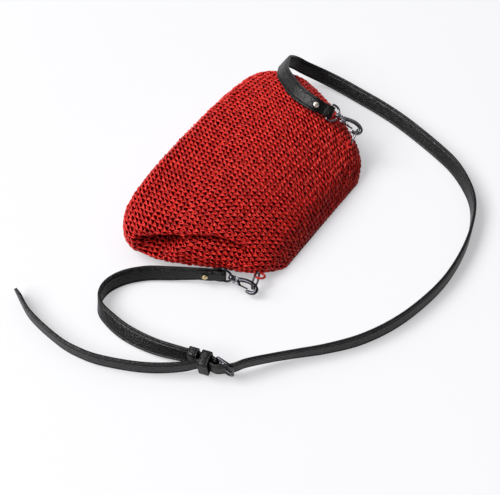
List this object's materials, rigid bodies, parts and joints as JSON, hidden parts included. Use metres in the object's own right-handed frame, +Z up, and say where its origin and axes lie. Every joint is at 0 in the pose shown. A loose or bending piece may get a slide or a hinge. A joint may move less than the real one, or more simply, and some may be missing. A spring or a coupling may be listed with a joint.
{
  "type": "crochet handbag",
  "caption": "Soft crocheted pouch bag lying on its back, with a mouth slit at its narrow edge and an adjustable buckled leather shoulder strap clipped to rings by swivel hooks.",
  "frame": {"origin": "on the surface that the bag lies on, under the middle of the pouch's box", "axes": "+X along the base and the mouth, +Y from the mouth to the base, +Z up out of the surface, from the pouch's back to its front"},
  "size_m": [0.4727, 0.3615, 0.078],
  "materials": {
    "red_yarn": "glossy red cord yarn in open crochet stitches",
    "black_leather": "fine-grained black leather with painted edges",
    "dark_metal": "polished gunmetal plating",
    "rivet_metal": "polished pale gold plating"
  },
  "bodies": {
    "bag": {"pouch_body": "red_yarn", "long_strap": "black_leather", "short_strap": "black_leather", "buckle_frame": "dark_metal", "buckle_prong": "dark_metal", "fixed_keeper": "black_leather", "right_ring_loop": "red_yarn", "left_ring_loop": "red_yarn", "right_rivet": "rivet_metal", "left_rivet": "rivet_metal"},
    "sliding_keeper": {"sliding_keeper": "black_leather"},
    "right_ring": {"right_ring": "dark_metal"},
    "right_loop": {"right_swivel_loop": "dark_metal"},
    "right_hook": {"right_hook_body": "dark_metal", "right_gate_pin": "dark_metal", "right_gate_spring": "dark_metal"},
    "right_gate": {"right_hook_gate": "dark_metal"},
    "left_ring": {"left_ring": "dark_metal"},
    "left_loop": {"left_swivel_loop": "dark_metal"},
    "left_hook": {"left_hook_body": "dark_metal", "left_gate_pin": "dark_metal", "left_gate_spring": "dark_metal"},
    "left_gate": {"left_hook_gate": "dark_metal"}
  },
  "joints": [
    {"name": "right_ring_swing", "type": "hinge", "parent": "bag", "child": "right_ring", "pos_m": [0.08792, -0.06238, 0.03459], "axis": [0.5534, 0.3798, -0.7413], "range_deg": [-4, 1]},
    {"name": "right_loop_pivot", "type": "hinge", "parent": "bag", "child": "right_loop", "pos_m": [0.09732, -0.02962, 0.05839], "axis": [0.7991, 0.0087, 0.6011], "range_deg": [-1.5, 1.5]},
    {"name": "right_hook_swivel", "type": "hinge", "parent": "right_loop", "child": "right_hook", "pos_m": [0.0999, -0.0398, 0.0551], "axis": [0.2348, -0.925, -0.2987], "range_deg": [-10, 10]},
    {"name": "right_gate_hinge", "type": "hinge", "parent": "right_hook", "child": "right_gate", "pos_m": [0.10044, -0.04666, 0.05199], "axis": [-0.5534, -0.3798, 0.7413], "range_deg": [0, 15], "stiffness_Nm_per_rad": 0.02, "springref_deg": -11.46, "deforming": ["right_gate_spring"]},
    {"name": "left_ring_swing", "type": "hinge", "parent": "bag", "child": "left_ring", "pos_m": [-0.1051, -0.072, 0.01251], "axis": [0.3496, 0.0596, 0.935], "range_deg": [-4, 0.5]},
    {"name": "left_loop_pivot", "type": "hinge", "parent": "bag", "child": "left_loop", "pos_m": [-0.12305, -0.03936, 0.0126], "axis": [0.0133, 0.0023, 0.9999], "range_deg": [-0.5, 2]},
    {"name": "left_hook_swivel", "type": "hinge", "parent": "left_loop", "child": "left_hook", "pos_m": [-0.1212, -0.0502, 0.0126], "axis": [0.168, -0.9858, 0], "range_deg": [-10, 10]},
    {"name": "left_gate_hinge", "type": "hinge", "parent": "left_hook", "child": "left_gate", "pos_m": [-0.1211, -0.05769, 0.01165], "axis": [-0.6234, -0.1062, 0.7747], "range_deg": [0, 15], "stiffness_Nm_per_rad": 0.02, "springref_deg": -11.46, "deforming": ["left_gate_spring"]},
    {"name": "sliding_keeper_slide", "type": "slide", "parent": "bag", "child": "sliding_keeper", "axis": [-0.2402, 0.9707, 0], "range_m": [-0.0015, 0.002]}
  ]
}
